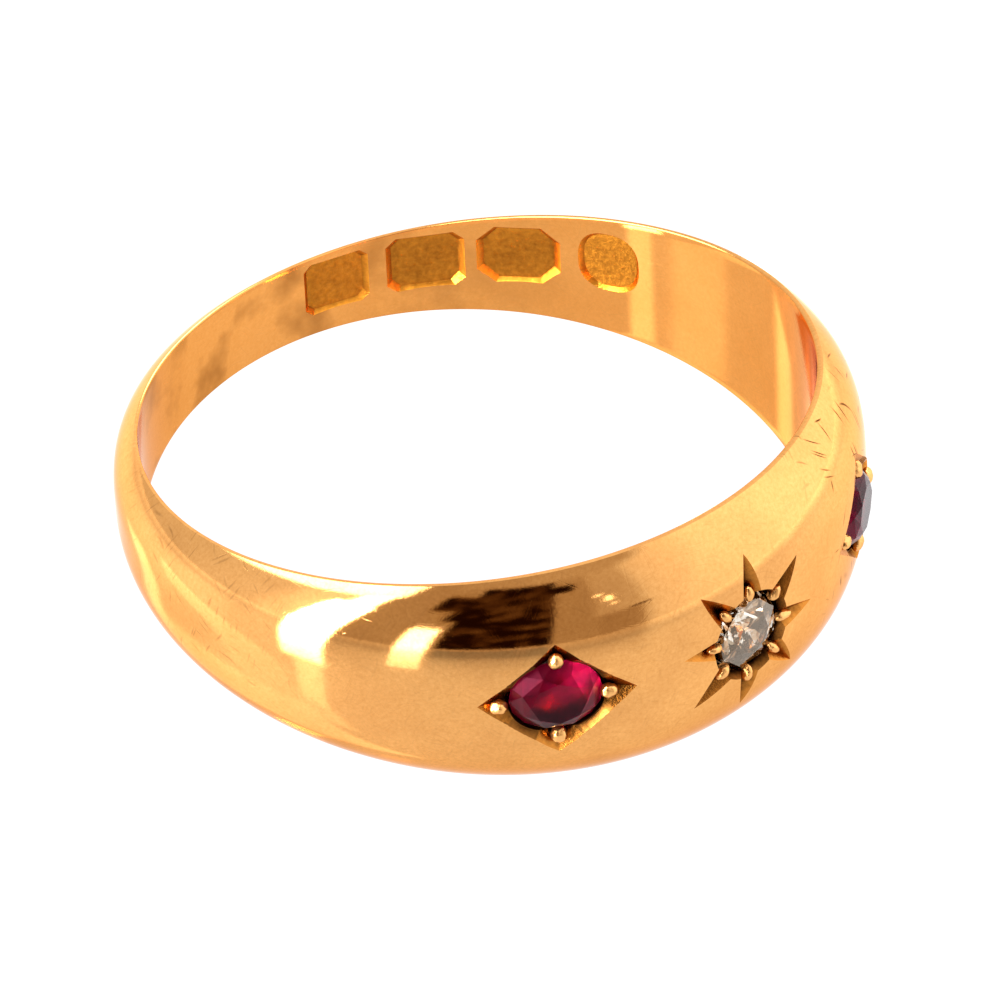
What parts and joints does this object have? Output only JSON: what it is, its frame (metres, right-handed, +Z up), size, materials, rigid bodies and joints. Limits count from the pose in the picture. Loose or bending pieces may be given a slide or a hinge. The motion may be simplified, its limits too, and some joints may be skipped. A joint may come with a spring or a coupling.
{
  "type": "flush set gypsy ring",
  "caption": "Tapered domed gold finger ring with a star-cut diamond between two oval rubies in lozenge cuts, lying on its side.",
  "frame": {"origin": "centre of the bounding box at its underside, on the surface that the ring lies on", "axes": "+Z up from that surface; the stones face -Y, the left ruby is toward -X; the finger hole's axis leans 6.9 degrees toward +Y because the wide front stands higher than the narrow back"},
  "size_m": [0.0194, 0.0196, 0.0067],
  "materials": {
    "gold": "worn polish with fine scratches",
    "diamond": "faceted and polished",
    "ruby": "faceted and polished"
  },
  "bodies": {
    "root": {"band": "gold", "centre_diamond": "diamond", "left_ruby": "ruby", "right_ruby": "ruby"}
  },
  "joints": []
}
